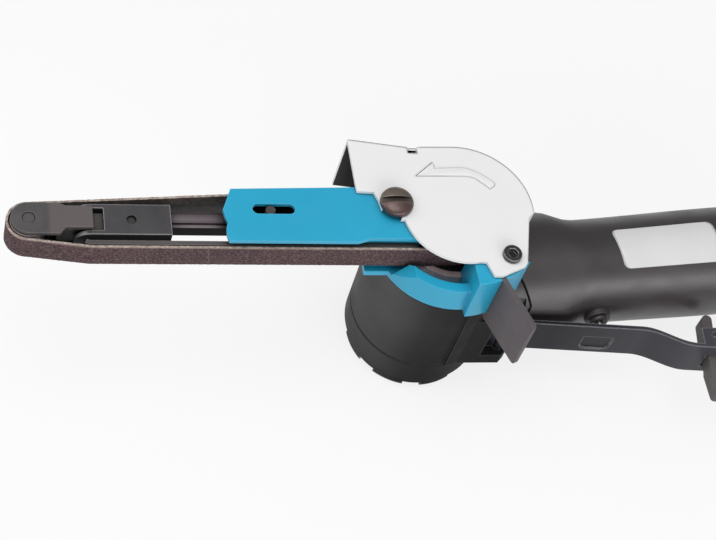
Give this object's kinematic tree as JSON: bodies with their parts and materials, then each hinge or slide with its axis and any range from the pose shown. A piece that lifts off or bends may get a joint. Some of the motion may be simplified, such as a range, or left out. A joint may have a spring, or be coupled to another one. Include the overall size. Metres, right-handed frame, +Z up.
{
  "type": "air finger belt sander",
  "caption": "Air-driven power file: finger belt sander with sprung nose pulley, swivelling arm, swing-away guard, spark shield, throttle lever with lock-off tab and a round grip.",
  "frame": {"origin": "on the motor axis, in the face that the motor end cap stands on", "axes": "+Z up the motor axis towards the belt, -X along the belt arm, +X along the handle"},
  "size_m": [0.3046, 0.0755, 0.0814],
  "materials": {
    "housing_cast": "dark satin coating on a casting",
    "grip": "brown-grey soft moulded grip",
    "motor_steel": "ground steel",
    "vane": "laminated vane",
    "dark_steel": "blackened steel",
    "bright_steel": "plain steel",
    "blue_paint": "blue enamel on a casting",
    "blue_sheet": "blue enamel on sheet steel",
    "guard_silver": "pale silver sheet",
    "abrasive_belt": "brown abrasive grain on cloth",
    "lever_paint": "dark grey paint on steel",
    "brass": "turned brass",
    "valve_metal": "dark coated bushing",
    "seal": "black rubber ring"
  },
  "bodies": {
    "body": {"motor_housing": "housing_cast", "end_cap": "housing_cast", "handle_grip": "grip", "rear_end_plate": "motor_steel", "front_end_plate": "motor_steel", "motor_cylinder": "motor_steel", "rear_bearing": "motor_steel", "front_bearing": "motor_steel", "lock_ring": "dark_steel", "lever_pivot_pin": "bright_steel", "valve_bushing": "valve_metal", "valve_spring": "bright_steel", "inlet_bushing": "bright_steel", "inlet_screen": "bright_steel"},
    "rotor": {"rotor_shaft": "motor_steel", "rotor_vanes": "vane", "drive_wheel": "dark_steel", "wheel_nut": "bright_steel"},
    "arm": {"arm_base": "blue_paint", "arm_casing": "blue_sheet", "rod_bush": "dark_steel", "platen": "dark_steel", "platen_rivets": "bright_steel", "sanding_belt": "abrasive_belt", "tension_spring": "bright_steel", "latch_screw": "dark_steel", "guard_pivot_screw": "dark_steel", "spark_shield": "lever_paint", "shield_rivets": "bright_steel"},
    "carriage": {"tension_rod": "dark_steel", "carriage_channel": "dark_steel", "idler_yoke": "dark_steel", "yoke_pin": "dark_steel", "idler_axle": "bright_steel", "guide_pin": "bright_steel"},
    "idler": {"idler_pulley": "bright_steel", "idler_bush": "brass"},
    "guard": {"belt_guard": "guard_silver"},
    "lever": {"throttle_lever": "lever_paint", "lock_pin": "bright_steel", "lock_spring": "bright_steel"},
    "lock": {"lock_tab": "lever_paint"},
    "valve": {"valve_stem": "bright_steel", "valve_seal": "seal"}
  },
  "joints": [
    {"name": "motor_spin", "type": "hinge", "parent": "body", "child": "rotor", "pos_m": [0, 0, 0.068], "axis": [0, 0, 1], "continuous": true},
    {"name": "arm_swivel", "type": "hinge", "parent": "body", "child": "arm", "pos_m": [0, 0, 0.058], "axis": [0, 0, 1], "range_deg": [-40, 40]},
    {"name": "belt_tension", "type": "slide", "parent": "arm", "child": "carriage", "axis": [1, 0, 0], "range_m": [0, 0.0055], "stiffness_N_per_m": 1200, "deforming": ["tension_spring"]},
    {"name": "idler_spin", "type": "hinge", "parent": "carriage", "child": "idler", "pos_m": [-0.1364, -0.003, 0.068], "axis": [0, 0, 1], "continuous": true},
    {"name": "guard_swing", "type": "hinge", "parent": "arm", "child": "guard", "pos_m": [0.01336, -0.0176, 0.0776], "axis": [0, 0, 1], "range_deg": [-70, 0]},
    {"name": "throttle_press", "type": "hinge", "parent": "body", "child": "lever", "pos_m": [0.0235, -0.0186, 0.0313], "axis": [0, 0, 1], "range_deg": [0, 5], "stiffness_Nm_per_rad": 2.5},
    {"name": "lock_fold", "type": "hinge", "parent": "lever", "child": "lock", "pos_m": [0.096, -0.02491, 0.0313], "axis": [0, 0, 1], "range_deg": [0, 60]},
    {"name": "valve_stroke", "type": "slide", "parent": "body", "child": "valve", "axis": [-0.0924, 0.9957, 0], "range_m": [0, 0.0032], "deforming": ["valve_spring"]}
  ],
  "couplings": [
    {"joint": "idler_spin", "follows": "motor_spin", "ratio": 1.982},
    {"joint": "lock_fold", "follows": "throttle_press", "ratio": 12},
    {"joint": "valve_stroke", "follows": "throttle_press", "m_per_rad": 0.035}
  ]
}
